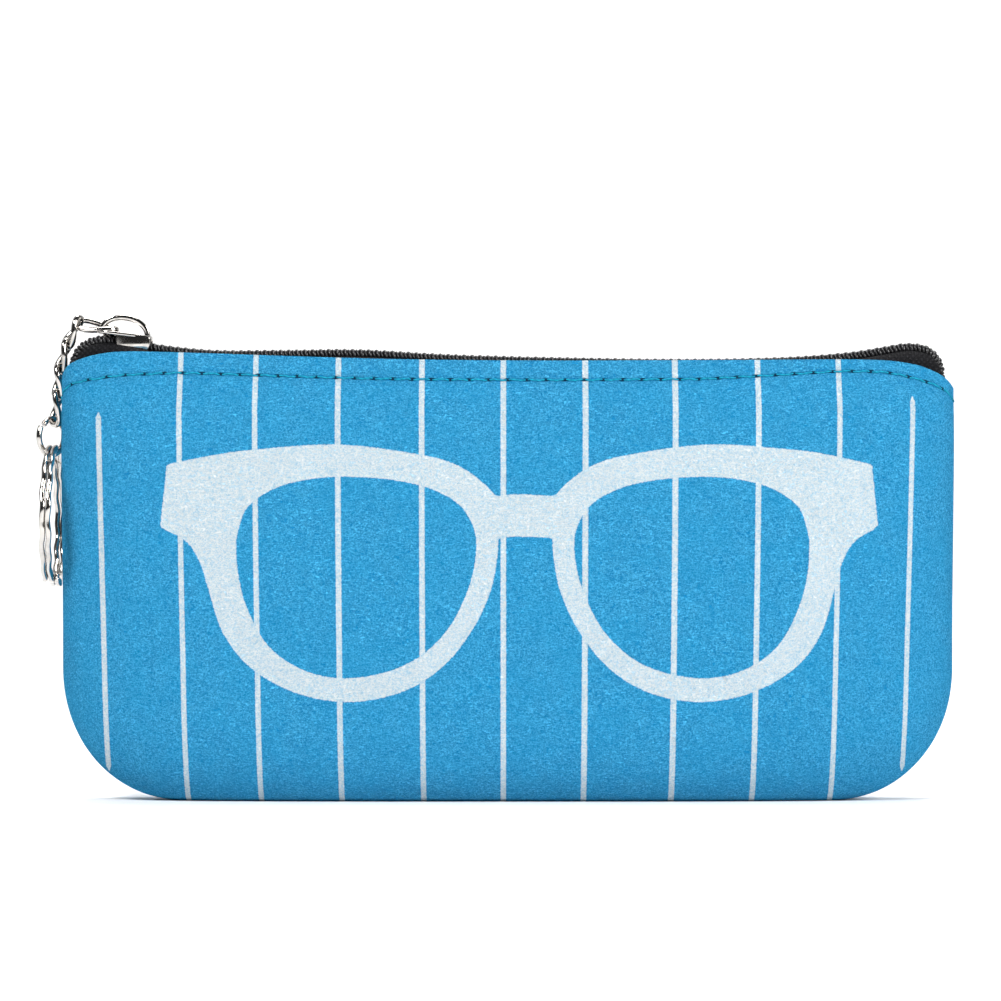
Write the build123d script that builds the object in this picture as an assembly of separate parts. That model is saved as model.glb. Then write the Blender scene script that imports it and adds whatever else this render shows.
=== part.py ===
"""Zipped felt eyeglasses case with a short key chain, standing on its bottom.

+Z is up, the printed front faces -Y and +X runs from the closed slider to the far
end. The origin is on the surface that the case stands on, midway between its sides
and midway between the two felt panels. All sizes are in millimetres.
"""
import math
import os

from build123d import *

os.makedirs("parts", exist_ok=True)

# ---- Driving dimensions: the pouch ----
WIDTH = 187.0              # across the side seams at mid height
DEPTH = 32.0               # front to back where the case is fullest
FELT = 1.6                 # felt thickness
CORNER_WIDTH = 23.5        # lower corners: how far in the flat bottom starts
CORNER_HEIGHT = 28.0       # lower corners: how far up the straight side starts
BASE_HALF_DEPTH = 5.0      # the flat strip that the case stands on
BELLY_LOW = 22.0           # full depth from this height
BELLY_HIGH = 36.0          # to this height
MOUTH_HEIGHT = 93.0        # height at which the mouth depth is measured
MOUTH_HALF_DEPTH = 8.6     # outside of the felt at the mouth
BELLY_SQUARENESS = 4.0     # power of the plan curve at the belly
MOUTH_SQUARENESS = 16.0    # and at the mouth, where the zipper holds the ends square
LOFT_TOP = 99.0            # panels are lofted past the mouth, then cut to their edge
SEAM_GROOVE = 5.0          # how far the side seam is drawn in
SEAM_GROOVE_REACH = 2.8    # how quickly the groove fades towards front and back
SEAM_ROUNDING = 2.45       # the plan curve loses this much before it meets the groove
SEAM_ALLOWANCE = 6.0       # felt turned in along the sides and bottom
SEAM_TOP = 85.0            # the turned-in felt ends below the zipper
SECTION_HEIGHTS = (0, 0.8, 2.5, 6, 12, 22, 36, 52, 68, 82, 91, LOFT_TOP)

# Felt top edge as (x, z), from the left side over the mouth to the right side
MOUTH_EDGE = (
    (-96.0, 84.0),
    (-92.6, 91.3),
    (-80.0, 94.6),
    (-28.0, 92.7),
    (5.0, 92.3),
    (80.0, 92.8),
    (90.4, 90.6),
    (96.0, 84.0),
)
MOUTH_EDGE_RADII = (5.0, 20.0, 160.0, 300.0, 40.0, 6.0)

# ---- Driving dimensions: the zipper ----
COIL_RADIUS = 1.25         # half the height of the coil
COIL_BORE = 0.55           # room for the filler cord inside the coil
CORD_RADIUS = 0.45         # filler cord
COIL_OFFSET = 1.32         # centre of each coil from the middle of the zipper
TAPE = 0.5                 # tape thickness
TAPE_GAP = 0.12            # tape to felt, and tape to coil
TAPE_EDGE = 0.25           # tape edge from the middle of the zipper
TAPE_BOTTOM = 81.5         # the sewn-in tape reaches down to this height
TAPE_SHOULDER = 86.5       # beyond this, out from the middle, it clears the turned-in felt
TAPE_NOTCH = 4.2           # the tapes part round the slider's wedge for this length
TAPE_NOTCH_LOW = 88.0      # and down to this height
CAVITY_LOW = 60.0          # the tapes are cut from shells that start at this height

# Coil centre line as (x, z), and how far its halves stand from the middle
COIL_LINE = (
    (-89.3, 91.0),
    (-88.3, 95.3),
    (-86.8, 95.3),
    (-73.5, 95.3),
    (-63.0, 93.7),
    (-31.0, 93.5),
    (20.0, 91.7),
    (55.0, 91.9),
    (84.0, 95.2),
    (89.5, 91.6),
)
COIL_SPREAD = (1.7, 2.65, 2.65, COIL_OFFSET)   # first points, then level
COIL_RADII = (1.4, 4.0, 8.0, 12.0, 60.0, 120.0, 60.0, 4.0)

# ---- Driving dimensions: the slider ----
SLIDER_FRONT = -86.6       # wide end, where the two coils part
SLIDER_BACK = -74.8        # narrow end
SLIDER_PLATE = 1.0         # plate and flange thickness
SLIDER_COIL_Z = 95.3       # coil centre inside the slider
SLIDER_ROOM = 0.2          # clearance round the coil
SLIDER_WIDE = 4.1          # inside half width at the wide end
SLIDER_NARROW = 2.8        # inside half width at the narrow end
SLIDER_SHOULDER = 0.45     # share of the length at which the plates start to narrow
SHOULDER_WIDTH = 0.96      # and their share of the full width there
PLATE_CORNER_WIDE = 1.6    # plate corners in plan at the wide end
PLATE_CORNER_NARROW = 1.2  # and at the narrow end
PLATE_EDGE = 0.45          # rounding of the plates' outer edges
FLANGE_START = 3.6         # flanges start this far behind the wide end
FLANGE_SHORT = 0.9         # and stop this far before the narrow end
WEDGE_HALF_WIDTH = 1.0     # post between the plates
WEDGE_TIP = 0.3            # wedge in plan, from the wide end: its tip,
WEDGE_MIDDLE = 1.3         # its widest place
WEDGE_TAIL = 3.6           # and its tail
BRIDGE_THICK = 1.2
BRIDGE_WIDE = 1.3
BRIDGE_TOP = 102.3
BRIDGE_LEG_FRONT = -85.0
BRIDGE_LEG_BACK = -76.3
BRIDGE_CREST = 4.4         # length of its level top
BRIDGE_SHOULDER = 1.4      # height at which it comes down to the back leg
BRIDGE_ROOT = 0.4          # how deep its legs are let into the plate
BRIDGE_RADII = (1.5, 3.0, 1.4)

# ---- Driving dimensions: the chain ----
WIRE = 1.2                 # link wire diameter
LINK_LENGTH = 6.8          # wire centre to wire centre along a link
LINK_HALF_WIDTH = 2.6      # bend corners from the link's middle
FLAT_LINK_HALF_WIDTH = 1.9 # wire centre from the middle of the first, untwisted link
LINK_CORNER = 1.6          # bend radius at the four corners
LINK_PLAY = 0.15           # gap between linked wires
FIRST_LINK_LIFT = 0.65     # the first link's wire above the slider's plate
CHAIN_TURN = 55.0          # lower ends of the hanging links, turned from the front
LEAN_ANGLES = (35.0, 25.0, 8.0, 2.0)   # hanging links lean outwards over the corner
JUMP_RING_LEAN = 30.0      # and so does the jump ring
JUMP_RING_TURN = -50.0     # the jump ring's plane, turned from the front
JUMP_RING_RADIUS = 3.5     # wire centre
JUMP_WIRE = 1.1
JUMP_RING_OPENING = 7.0    # degrees of the cut in the jump ring
JUMP_RING_CUT_AT = 160.0   # where the cut is, in degrees round the ring
RING_OUTER = 15.0          # split ring outside radius
RING_SEAT = 1.6            # split ring above the bottom of the jump ring
RING_BAND = 2.1            # radial width of its wire
RING_TURN = 1.35           # thickness of one turn
RING_SLIT = 0.08           # gap between the two turns
RING_EDGE = 0.35           # rounding of the flat wire's edges
RING_CROSSOVER = 36.0      # degrees over which the wire changes turn
RING_CROSSOVER_AT = -70.0  # where that is, in degrees about the ring's axis
RING_END_GAP = 0.6         # cut between each wire end and the crossover

# ---- Driving dimensions: the stitching ----
THREAD = 0.5
THREAD_CLEAR = 0.4         # the stitches' clearance from the felt's curved face
STITCH_PITCH = 4.0
STITCH_LENGTH = 3.2
STITCH_BELOW_EDGE = 4.2
STITCH_SPAN = 86.0         # outermost topstitch from the middle
SEAM_LINE_INSET = 3.4      # seam stitching from the felt's outline
SEAM_LINE_LOW = 3.8        # and from the surface that the case stands on
SEAM_THREAD = 0.45
SEAM_THREAD_CLEAR = 0.1    # the thread's clearance from the turned-in felt
SEAM_THREAD_TOP = 80.0


def half_width(z):
    """Half the width of the pouch at height z, with elliptical lower corners."""
    full = WIDTH / 2
    if z >= CORNER_HEIGHT:
        return full
    reach = (CORNER_HEIGHT - z) / CORNER_HEIGHT
    return full - CORNER_WIDTH * (1 - math.sqrt(1 - reach**2))


def half_depth(z):
    """Half the depth of the pouch at height z: round below, tapering to the mouth."""
    full = DEPTH / 2
    if z < BELLY_LOW:
        reach = (BELLY_LOW - z) / BELLY_LOW
        return BASE_HALF_DEPTH + (full - BASE_HALF_DEPTH) * math.sqrt(1 - reach**2)
    if z < BELLY_HIGH:
        return full
    share = (z - BELLY_HIGH) / (MOUTH_HEIGHT - BELLY_HIGH)
    return full - (full - MOUTH_HALF_DEPTH) * share**2


def squareness(z):
    """Power of the plan curve at height z."""
    share = (z - BELLY_HIGH) / (MOUTH_HEIGHT - BELLY_HIGH)
    share = min(max(share, 0.0), 1.0)
    return BELLY_SQUARENESS + (MOUTH_SQUARENESS - BELLY_SQUARENESS) * share**2


def half_section(z, inset):
    """Plan of the front half at height z, drawn in from the outside by inset."""
    wide = half_width(z) + SEAM_ROUNDING - inset
    deep = half_depth(z) - inset
    power = 2 / squareness(z)
    steps = 16
    points = []
    for step in range(steps + 1):
        angle = math.pi * step / steps
        y = -deep * math.sin(angle)
        x = -wide * math.copysign(abs(math.cos(angle)) ** power, math.cos(angle))
        groove = SEAM_GROOVE * math.exp(y / SEAM_GROOVE_REACH)
        x -= math.copysign(groove, x) if abs(x) > wide / 2 else 0
        points.append((x, y, z))
    outline = Spline(*points)
    return make_face([outline, Line(points[-1], points[0])])


def half_body(inset, bottom=0.0):
    """Solid front half of the pouch, drawn in by inset, from height bottom upwards."""
    heights = [bottom] + [z for z in SECTION_HEIGHTS if z > bottom + 0.5]
    return loft([half_section(z, inset) for z in heights])


def slab(x_low, x_high, y_low, y_high, z_low, z_high):
    """Box between two corners."""
    return Pos(x_low, y_low, z_low) * Box(
        x_high - x_low, y_high - y_low, z_high - z_low, align=(Align.MIN,) * 3
    )


def edge_height(x):
    """Height of the felt's top edge at x."""
    for (x0, z0), (x1, z1) in zip(MOUTH_EDGE, MOUTH_EDGE[1:]):
        if x0 <= x <= x1:
            return z0 + (z1 - z0) * (x - x0) / (x1 - x0)
    return MOUTH_EDGE[0][1]


def below_mouth_edge(drop=0.0):
    """Everything below the felt's top edge, lowered by drop."""
    line = [(x, z - drop) for x, z in MOUTH_EDGE]
    top = FilletPolyline(*line, radius=list(MOUTH_EDGE_RADII))
    sides = Polyline(line[-1], (line[-1][0], -5.0), (line[0][0], -5.0), line[0])
    face = Plane.XZ * make_face([top, sides])
    return extrude(face, amount=DEPTH, both=True)


def felt_panel():
    """Front felt panel: a bellied wall, half the bottom and the turned-in allowance."""
    outside = half_body(0)
    wall = outside - half_body(FELT, bottom=FELT)
    reach = WIDTH / 2 - SEAM_ALLOWANCE
    core = slab(-reach, reach, -DEPTH, DEPTH, SEAM_ALLOWANCE, 2 * LOFT_TOP)
    core = fillet(core.edges().filter_by(Axis.Y).group_by(Axis.Z)[0], CORNER_HEIGHT - SEAM_ALLOWANCE)
    layer = slab(-WIDTH, WIDTH, -FELT, 0, -1, SEAM_TOP)
    allowance = (outside & layer) - core
    return (wall + allowance) & below_mouth_edge()


def coil_path(side):
    """Centre line of one coil; side is -1 for the front half and 1 for the back."""
    spread = list(COIL_SPREAD) + [COIL_OFFSET] * (len(COIL_LINE) - len(COIL_SPREAD))
    points = [(x, side * y, z) for (x, z), y in zip(COIL_LINE, spread)]
    return FilletPolyline(*points, radius=list(COIL_RADII))


def swept_ring(path, outer, inner=0.0):
    """Round tube or rod along a path."""
    start = Plane(path @ 0, z_dir=path % 0)
    profile = Circle(outer) - Circle(inner) if inner else Circle(outer)
    return sweep(start * profile, path=path)


def tape_line(drop):
    """Coil centre line in the XZ plane, lowered by drop and run out past both ends."""
    points = [(x, z - drop) for x, z in COIL_LINE]
    radii = list(COIL_RADII)
    del points[2], radii[1]          # the coils part here, but level with the next point
    points[0] = (-96.0, points[0][1] - 4)
    points[-1] = (96.0, points[-1][1] - 4)
    return FilletPolyline(*points, radius=radii)


def below_tape(drop):
    """Everything below the tape line, lowered by drop."""
    top = tape_line(drop)
    start, end = top @ 0, top @ 1
    sides = Polyline(
        (end.X, end.Y), (end.X, CAVITY_LOW), (start.X, CAVITY_LOW), (start.X, start.Y)
    )
    face = Plane.XZ * make_face([top, sides])
    return extrude(face, amount=DEPTH, both=True)


def zipper_tape():
    """Front tape: sewn flat inside the felt, then folded over to the coil."""
    drop = COIL_RADIUS + TAPE_GAP
    cavity = half_body(FELT + TAPE_GAP, bottom=CAVITY_LOW)
    lining = cavity - half_body(FELT + TAPE_GAP + TAPE, bottom=CAVITY_LOW)
    below_top = below_tape(drop)
    skirt = lining & below_top & slab(-WIDTH, WIDTH, -DEPTH, 0, TAPE_BOTTOM, 2 * LOFT_TOP)
    roof = cavity & (below_top - below_tape(drop + TAPE))
    roof &= slab(-WIDTH, WIDTH, -DEPTH, -TAPE_EDGE, CAVITY_LOW, 2 * LOFT_TOP)
    tape = skirt + roof
    for low, high in ((-WIDTH, -TAPE_SHOULDER), (TAPE_SHOULDER, WIDTH)):
        tape -= slab(low, high, -FELT - TAPE_GAP, 0, CAVITY_LOW, SEAM_TOP + TAPE_GAP)
    notch_half_width = WEDGE_HALF_WIDTH + SLIDER_ROOM
    notch_end = SLIDER_FRONT + TAPE_NOTCH
    tape -= slab(-WIDTH, notch_end, -notch_half_width, 0, TAPE_NOTCH_LOW, 2 * LOFT_TOP)
    return tape - swept_ring(coil_path(-1), COIL_RADIUS + TAPE_GAP / 2)


def slider_body():
    """Slider: two plates joined by a wedge, flanges that hold the coils, and a bridge."""
    length = SLIDER_BACK - SLIDER_FRONT
    top_low = SLIDER_COIL_Z + COIL_RADIUS + SLIDER_ROOM
    tape_low = SLIDER_COIL_Z - COIL_RADIUS - TAPE_GAP - TAPE
    bottom_high = tape_low - SLIDER_ROOM

    def plan(grow):
        wide, narrow = SLIDER_WIDE + grow, SLIDER_NARROW + grow
        shoulder = (length * SLIDER_SHOULDER, wide * SHOULDER_WIDTH)
        corners = [
            (0, -wide), (shoulder[0], -shoulder[1]), (length, -narrow),
            (length, narrow), shoulder, (0, wide),
        ]
        return make_face(Polyline(*corners, close=True))

    outline = plan(SLIDER_PLATE)
    outline = fillet(outline.vertices().group_by(Axis.X)[-1], PLATE_CORNER_NARROW)
    outline = fillet(outline.vertices().group_by(Axis.X)[0], PLATE_CORNER_WIDE)
    at_front = Pos(SLIDER_FRONT, 0, 0)
    top = extrude(at_front * Pos(0, 0, top_low) * outline, SLIDER_PLATE)
    top = fillet(top.faces().sort_by(Axis.Z)[-1].edges(), PLATE_EDGE)
    lower = plan(SLIDER_PLATE / 2)
    lower = fillet(lower.vertices(), PLATE_CORNER_NARROW)
    bottom = extrude(at_front * Pos(0, 0, bottom_high - SLIDER_PLATE) * lower, SLIDER_PLATE)
    bottom = fillet(bottom.faces().sort_by(Axis.Z)[0].edges(), PLATE_EDGE)
    flange_low = tape_low + TAPE + SLIDER_ROOM
    flange = extrude(at_front * Pos(0, 0, flange_low) * (outline - plan(0)), top_low - flange_low)
    wide_end = (SLIDER_FRONT - 1, SLIDER_FRONT + FLANGE_START)
    narrow_end = (SLIDER_BACK - FLANGE_SHORT, SLIDER_BACK + 1)
    for low, high in (wide_end, narrow_end):
        flange -= slab(low, high, -DEPTH, DEPTH, flange_low - 1, top_low)
    wedge_plan = make_face(Polyline(
        (WEDGE_TIP, 0), (WEDGE_MIDDLE, WEDGE_HALF_WIDTH), (WEDGE_TAIL, 0),
        (WEDGE_MIDDLE, -WEDGE_HALF_WIDTH), close=True,
    ))
    wedge = extrude(at_front * Pos(0, 0, bottom_high) * wedge_plan, top_low - bottom_high)

    plate_top = top_low + SLIDER_PLATE
    crest = BRIDGE_TOP - BRIDGE_THICK / 2
    root = plate_top - BRIDGE_ROOT
    arch = FilletPolyline(
        (BRIDGE_LEG_FRONT, root), (BRIDGE_LEG_FRONT, crest),
        (BRIDGE_LEG_FRONT + BRIDGE_CREST, crest),
        (BRIDGE_LEG_BACK, plate_top + BRIDGE_SHOULDER), (BRIDGE_LEG_BACK, root),
        radius=list(BRIDGE_RADII),
    )
    arch = Plane.XZ * arch
    start = Plane(arch @ 0, x_dir=(0, 1, 0), z_dir=arch % 0)
    bridge = sweep(start * Rectangle(BRIDGE_WIDE, BRIDGE_THICK), path=arch)
    return top + bottom + flange + wedge + bridge


def closed_wire_loop(corners, corner_radius, wire):
    """Closed bent wire through the corners, joined from its straight and bent lengths."""
    path = FilletPolyline(*corners, radius=corner_radius, close=True)
    lengths = []
    for edge in path.edges():
        start = Plane(edge @ 0, z_dir=edge % 0)
        lengths.append(sweep(start * Circle(wire / 2), path=edge))
    return lengths[0].fuse(*lengths[1:])


def chain_link(turn_top, turn_bottom):
    """Twisted link on the Z axis, its top wire's centre at the origin, hanging down.

    Each end is a loop in an upright plane turned about Z by the given angle.
    """
    def end(turn, z):
        x = LINK_HALF_WIDTH * math.cos(math.radians(turn))
        y = LINK_HALF_WIDTH * math.sin(math.radians(turn))
        return (x, y, z), (-x, -y, z)

    a, b = end(turn_top, 0)
    c, d = end(turn_bottom, -LINK_LENGTH)
    return closed_wire_loop([a, b, d, c], LINK_CORNER, WIRE)


def chain_layout():
    """Middle of the first link, each hanging link's top wire and lean, and the last wire."""
    first_wire_x = BRIDGE_LEG_FRONT + BRIDGE_THICK / 2 + 2 * LINK_PLAY + WIRE / 2
    plate_top = SLIDER_COIL_Z + COIL_RADIUS + SLIDER_ROOM + SLIDER_PLATE
    first_z = plate_top + FIRST_LINK_LIFT + WIRE / 2
    outer_wire_x = first_wire_x - LINK_LENGTH
    first_centre = Vector(first_wire_x - LINK_LENGTH / 2, 0, first_z)
    hangs_on = Vector(outer_wire_x, 0, first_z)
    places = []
    for lean in LEAN_ANGLES:
        down = Vector(-math.sin(math.radians(lean)), 0, -math.cos(math.radians(lean)))
        top = hangs_on - down * (WIRE + LINK_PLAY)
        places.append((top, lean))
        hangs_on = top + down * LINK_LENGTH
    return first_centre, places, hangs_on


def split_ring():
    """Two-turn ring of flat wire in the YZ plane, centred on the origin."""
    inner = RING_OUTER - RING_BAND
    turns = 2 * RING_TURN + RING_SLIT
    band = extrude(Circle(RING_OUTER) - Circle(inner), turns / 2, both=True)
    band = fillet(band.edges(), RING_EDGE)
    slit = extrude(Circle(RING_OUTER + 1) - Circle(inner - 1), RING_SLIT / 2, both=True)
    half = math.radians(RING_CROSSOVER / 2)
    far = 2 * RING_OUTER
    wedge = make_face(Polyline(
        (0, 0), (far * math.cos(half), far * math.sin(half)),
        (far * math.cos(half), -far * math.sin(half)), close=True,
    ))
    slit -= extrude(wedge, turns, both=True)
    ring = band - slit
    for face, angle in ((1, RING_CROSSOVER / 2), (-1, -RING_CROSSOVER / 2)):
        gap = Pos(RING_OUTER - RING_BAND / 2, 0, face * (RING_TURN + RING_SLIT) / 2) * Box(
            2 * RING_BAND, RING_END_GAP, RING_TURN + RING_SLIT
        )
        ring -= Rot(0, 0, angle) * gap
    return Rot(0, 90, 0) * ring


def stitches(places):
    """One short rounded stitch at each place, lying along its direction."""
    rod = Cylinder(THREAD / 2, STITCH_LENGTH)
    rod = fillet(rod.edges(), THREAD * 0.3)
    return Compound(children=[Plane(centre, z_dir=along) * rod for centre, along in places])


def outer_surface_depth(x, z):
    """How far the felt's outer face stands from the middle at a point of the front view."""
    share = min(abs(x) / (half_width(z) + SEAM_ROUNDING), 1.0)
    return half_depth(z) * math.sqrt(1 - share ** squareness(z))


def topstitch_places(side):
    """Centres and directions of the topstitches along one panel's mouth."""
    count = int(2 * STITCH_SPAN / STITCH_PITCH)
    places = []
    stand_off = THREAD / 2 + THREAD_CLEAR

    def on_felt(x):
        z = edge_height(x) - STITCH_BELOW_EDGE
        return Vector(x, side * (outer_surface_depth(x, z) + stand_off), z)

    for k in range(count + 1):
        x = -STITCH_SPAN + k * STITCH_PITCH
        ahead, behind = on_felt(x + STITCH_LENGTH / 2), on_felt(x - STITCH_LENGTH / 2)
        places.append(((ahead + behind) / 2, ahead - behind))
    return places


def seam_thread():
    """Seam stitching along the sides and bottom, one thread on each face of the seam."""
    reach = WIDTH / 2 - SEAM_LINE_INSET
    y = FELT + SEAM_THREAD / 2 + SEAM_THREAD_CLEAR
    threads = []
    for side in (-1, 1):
        points = [
            (-reach, side * y, SEAM_THREAD_TOP), (-reach, side * y, SEAM_LINE_LOW),
            (reach, side * y, SEAM_LINE_LOW), (reach, side * y, SEAM_THREAD_TOP),
        ]
        path = FilletPolyline(*points, radius=CORNER_HEIGHT - SEAM_LINE_INSET)
        threads.append(swept_ring(path, SEAM_THREAD / 2))
    return Compound(children=threads)


def mirrored(piece):
    """The back piece that matches a front piece."""
    return mirror(piece, about=Plane.XZ)


def build():
    """Every piece of the case, by node name."""
    nodes = {}
    nodes["front_felt_panel"] = felt_panel()
    nodes["back_felt_panel"] = mirrored(nodes["front_felt_panel"])
    nodes["side_and_bottom_seam_thread"] = seam_thread()
    nodes["front_zipper_tape"] = zipper_tape()
    nodes["back_zipper_tape"] = mirrored(nodes["front_zipper_tape"])
    for name, side in (("front", -1), ("back", 1)):
        path = coil_path(side)
        nodes[f"{name}_zipper_coil"] = swept_ring(path, COIL_RADIUS, COIL_BORE)
        nodes[f"{name}_coil_filler_cord"] = swept_ring(path, CORD_RADIUS)
        nodes[f"{name}_topstitch_thread"] = stitches(topstitch_places(side))
    nodes["slider_body"] = slider_body()

    first_centre, places, end = chain_layout()
    half = LINK_LENGTH / 2
    wide = FLAT_LINK_HALF_WIDTH
    corners = [(half, -wide, 0), (half, wide, 0), (-half, wide, 0), (-half, -wide, 0)]
    nodes["chain_link_1"] = Pos(*first_centre) * closed_wire_loop(corners, LINK_CORNER, WIRE)
    turn_top, turn_bottom = 0.0, CHAIN_TURN
    for number, (top, lean) in enumerate(places, start=2):
        link = chain_link(turn_top, turn_bottom)
        nodes[f"chain_link_{number}"] = Pos(*top) * Rot(0, lean, 0) * link
        turn_top, turn_bottom = CHAIN_TURN - 90, CHAIN_TURN

    jump_reach = JUMP_RING_RADIUS - (WIRE + JUMP_WIRE) / 2 - 2 * LINK_PLAY
    lean = math.radians(JUMP_RING_LEAN)
    jump_centre = end + Vector(-math.sin(lean), 0, -math.cos(lean)) * jump_reach
    sweep_angle = 360 - JUMP_RING_OPENING
    jump_path = CenterArc((0, 0), JUMP_RING_RADIUS, JUMP_RING_OPENING / 2, sweep_angle)
    jump = swept_ring(jump_path, JUMP_WIRE / 2)
    jump = Rot(0, 0, JUMP_RING_TURN) * Rot(90, 0, 0) * Rot(0, 0, JUMP_RING_CUT_AT) * jump
    nodes["jump_ring"] = Pos(*jump_centre) * jump
    seat = jump_centre.Z - JUMP_RING_RADIUS + JUMP_WIRE / 2 + RING_SEAT
    ring_z = seat + RING_BAND - RING_OUTER
    nodes["split_ring"] = Pos(jump_centre.X, 0, ring_z) * Rot(RING_CROSSOVER_AT, 0, 0) * split_ring()
    return nodes


if __name__ == "__main__":
    for node, piece in build().items():
        export_step(piece, f"parts/{node}.step")
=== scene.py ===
"""Visual model of the zipped felt eyeglasses case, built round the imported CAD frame.

Lengths are worked out in millimetres in the CAD's own axes and turned into metres
when a mesh is made. +Z is up, the printed front faces -Y, and the closed slider is
at the low end of X.
"""
import functools
import math

import bmesh
import bpy
import numpy as np
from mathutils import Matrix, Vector, noise


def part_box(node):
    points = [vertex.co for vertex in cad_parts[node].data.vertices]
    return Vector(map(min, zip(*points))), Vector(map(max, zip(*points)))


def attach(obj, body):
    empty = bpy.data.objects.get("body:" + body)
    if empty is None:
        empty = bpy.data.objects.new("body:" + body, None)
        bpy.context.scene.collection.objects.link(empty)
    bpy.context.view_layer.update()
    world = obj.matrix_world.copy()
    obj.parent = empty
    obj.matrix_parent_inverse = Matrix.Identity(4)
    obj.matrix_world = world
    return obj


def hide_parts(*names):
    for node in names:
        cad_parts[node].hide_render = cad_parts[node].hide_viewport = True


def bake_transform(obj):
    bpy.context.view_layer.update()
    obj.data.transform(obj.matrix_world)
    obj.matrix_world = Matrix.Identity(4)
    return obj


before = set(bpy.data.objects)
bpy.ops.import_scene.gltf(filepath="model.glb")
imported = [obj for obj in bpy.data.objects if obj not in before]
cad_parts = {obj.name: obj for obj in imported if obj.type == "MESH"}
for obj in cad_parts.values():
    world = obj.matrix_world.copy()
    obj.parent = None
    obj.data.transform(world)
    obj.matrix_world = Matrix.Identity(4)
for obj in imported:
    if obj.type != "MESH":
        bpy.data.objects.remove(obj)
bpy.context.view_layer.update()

MM = 0.001

# ---- Pouch, sized from the CAD panels ----
FELT_LOW, FELT_HIGH = (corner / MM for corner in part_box("front_felt_panel"))
HALF_WIDTH = (FELT_HIGH.x - FELT_LOW.x) / 2
HALF_DEPTH = -FELT_LOW.y
FELT = 1.6
CORNER_WIDTH, CORNER_HEIGHT = 23.5, 28.0  # lower corners of the front view
BASE_HALF_DEPTH = 5.0  # flat strip it stands on
BELLY_LOW, BELLY_HIGH = 22.0, 36.0
MOUTH_HEIGHT, MOUTH_HALF_DEPTH = 93.0, 8.6
BELLY_SQUARENESS, MOUTH_SQUARENESS = 4.0, 16.0
SEAM_GROOVE, SEAM_GROOVE_REACH, SEAM_ROUNDING = 5.0, 2.8, 2.45
SEAM_ALLOWANCE, SEAM_TOP = 6.0, 85.0
EDGE_POINTS = (  # top edge of the felt, as (x, z)
    (-93.8, 89.0), (-92.5, 91.2), (-90.0, 92.6), (-85.5, 93.8), (-80.0, 94.3),
    (-68.0, 94.1), (-28.0, 92.8), (5.0, 92.4), (45.0, 92.5), (74.0, 92.6),
    (84.0, 91.8), (89.0, 90.3), (92.0, 88.6), (93.8, 86.6),
)
ROW_FLAT, ROW_CURVE, ROW_WALL = 3, 26, 60.0  # mesh rows: base strip, belly, wall start
ROW_STEP, TOP_ROWS, COLUMNS = 1.0, 56, 112
FELT_EDGE_ROUNDING = 0.28
DENTS = ((-86.5, 66.0, 0.45), (-85.0, 54.0, 0.5), (-87.5, 42.0, 0.5))  # (x, z, depth), by the ring
DENT_WIDE, DENT_HIGH = 2.6, 4.5
UNEVENNESS = 0.32  # of the felt's surface
WAVES = ((1.1, 21.0, 19.0, 3.1), (0.3, 6.0, 6.0, 7.7))  # (share, along x, along z, seed)
CALM_BASE, CALM_SEAM = 6.0, 3.0  # less uneven this near the base and the seam
LIP_FLARE, LIP_REACH = 0.22, 1.4  # the edge of the mouth turns out
STITCH_PULL, STITCH_PULL_REACH = 0.30, 1.0  # the stitches draw the felt in
ALLOWANCE_INSET, ALLOWANCE_RIPPLE = 2.9, 0.25

# ---- Zipper ----
COIL_OFFSET = 1.32  # coil centre line from the zipper's middle
COIL_LINE = (  # coil centre line as (x, z)
    (-91.9, 89.0), (-91.3, 91.7), (-89.8, 94.8), (-87.0, 96.4), (-83.5, 96.7), (-79.0, 96.1),
    (-74.5, 95.0), (-62.0, 93.7), (-46.0, 93.7), (-31.0, 93.8), (-10.5, 92.7), (17.5, 92.0),
    (40.0, 91.8), (59.0, 92.2), (72.0, 93.2), (79.0, 94.3), (84.3, 95.1), (88.4, 94.4),
    (90.6, 91.9), (91.0, 89.0),
)
COIL_APART = ((-91.5, 2.2), (-89.2, 2.7), (-86.0, 2.75), (-79.5, COIL_OFFSET))
COIL_PITCH, COIL_WIRE = 1.68, 0.48  # turn to turn, and filament radius
COIL_HALF_HIGH, COIL_HALF_WIDE, COIL_INWARDS = 0.80, 1.05, 0.30
COIL_STEPS = 14  # points on a turn
SEWING, SEWING_HALF_HIGH, SEWING_HALF_WIDE, SEWING_OUTWARDS = 0.27, 0.86, 0.95, 0.20
FILLER_CORD = 0.42
TAPE, TAPE_BOTTOM, TAPE_CLEAR = 0.5, 81.5, 0.15  # clear of the felt's inside
TAPE_ENDS, TAPE_DRAWN_IN, TAPE_FROM_MIDDLE = (-91.7, 90.6), 0.985, 0.4
TAPE_BELOW_EDGE, TAPE_BELOW_COIL, TAPE_BESIDE_COIL, TAPE_TUCK = 0.5, 0.55, 1.35, 1.2

# ---- Stitching ----
STITCH_PITCH = 4.0
STITCH_BELOW = (  # from the felt's edge down to the stitches, as (x, below)
    (-93.0, 4.6), (-85.0, 5.3), (-76.0, 4.8), (-68.0, 4.3), (40.0, 4.0), (58.0, 3.1),
    (69.0, 2.5), (78.0, 2.5), (86.0, 3.1), (92.0, 2.8),
)
STITCH_SUNK, STITCH_DIP, STITCH_DIP_LENGTH = 0.90, 0.80, 0.14  # dip length is a share of the pitch
STITCH_NEAR = 5.0  # how far from the row the felt's material counts
THREAD_RADIUS = 0.17
# the needle holes and the furrow along the stitches are darkened with painted shade
HOLE_ALONG, HOLE_ACROSS, HOLE_OUTER, HOLE_INNER = 0.55, 1.4, 0.62, 0.34
FURROW_OUTER, FURROW_INNER, FURROW_SHADE = 0.75, 0.15, 0.38

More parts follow.
